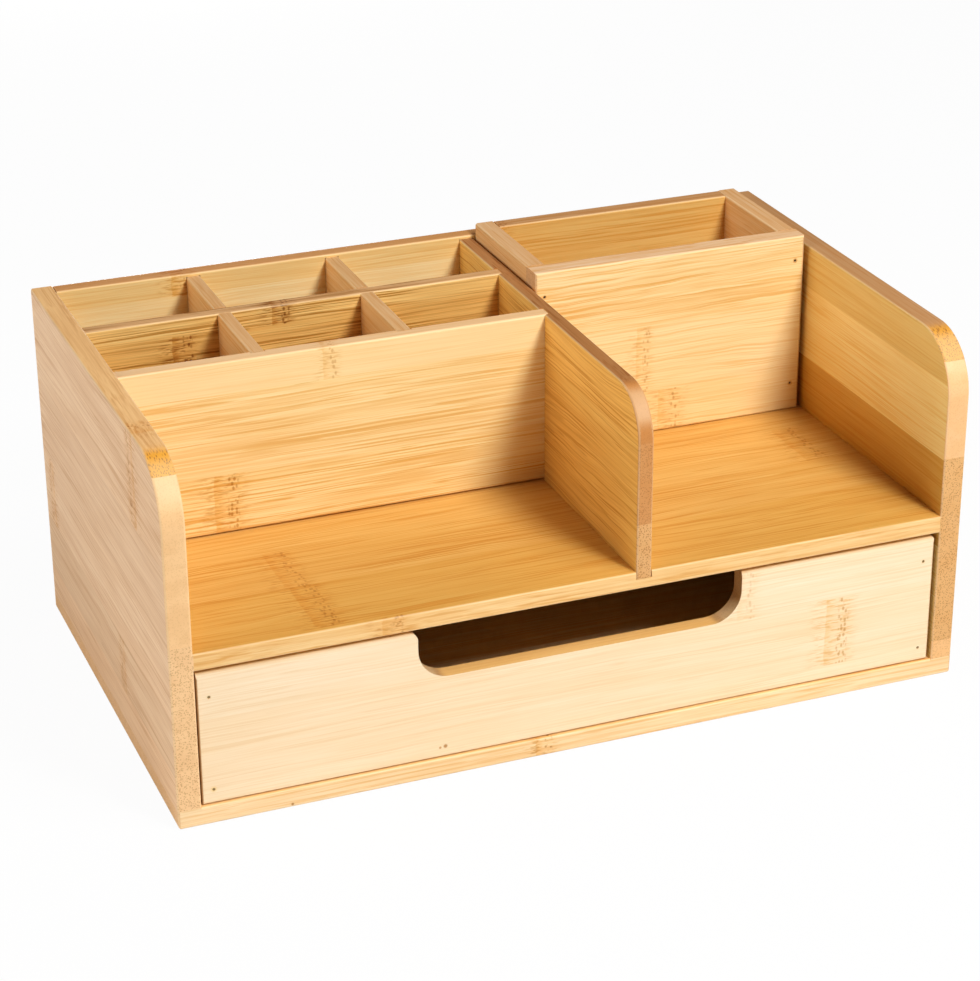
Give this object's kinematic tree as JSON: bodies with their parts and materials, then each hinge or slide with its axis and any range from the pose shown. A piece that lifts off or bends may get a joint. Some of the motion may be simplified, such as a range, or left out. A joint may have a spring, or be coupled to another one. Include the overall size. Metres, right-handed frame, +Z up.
{
  "type": "desk organizer with drawer",
  "caption": "Bamboo desk organizer: open compartments, a partition and a lift-out box on a shelf, over a full-width drawer with a hand cut-out.",
  "frame": {"origin": "middle of the underside of the base board, on the surface that the organizer stands on", "axes": "+X to the right and +Y to the back as seen from the front, +Z up"},
  "size_m": [0.335, 0.2, 0.1552],
  "materials": {
    "bamboo_pale": "pale laminated bamboo, sanded, thin matt lacquer",
    "bamboo_honey": "honey laminated bamboo, sanded, thin matt lacquer",
    "bamboo_amber": "amber laminated bamboo, sanded, thin matt lacquer",
    "bamboo_rose": "rosy laminated bamboo, sanded, thin matt lacquer",
    "brad_steel": "dark steel brads set below the surface",
    "screw_zinc": "zinc plated countersunk wood screws"
  },
  "bodies": {
    "carcass": {"base_board": "bamboo_honey", "left_side": "bamboo_rose", "right_side": "bamboo_amber", "back_panel": "bamboo_honey", "shelf_board": "bamboo_honey", "centre_partition": "bamboo_amber", "compartment_front": "bamboo_pale", "row_divider": "bamboo_honey", "short_divider_left": "bamboo_honey", "short_divider_right": "bamboo_honey", "base_screws": "screw_zinc"},
    "loose_box": {"box_front": "bamboo_pale", "box_left": "bamboo_amber", "box_right": "bamboo_amber", "box_back": "bamboo_honey", "box_bottom": "bamboo_honey", "box_brads": "brad_steel"},
    "drawer": {"drawer_front": "bamboo_pale", "drawer_left": "bamboo_honey", "drawer_right": "bamboo_honey", "drawer_back": "bamboo_honey", "drawer_bottom": "bamboo_honey", "drawer_brads": "brad_steel"}
  },
  "joints": [
    {"name": "drawer_slide", "type": "slide", "parent": "carcass", "child": "drawer", "axis": [0, -1, 0], "range_m": [0, 0.15]},
    {"name": "box_lift", "type": "slide", "parent": "carcass", "child": "loose_box", "axis": [0, 0, 1], "range_m": [0, 0.09]}
  ]
}
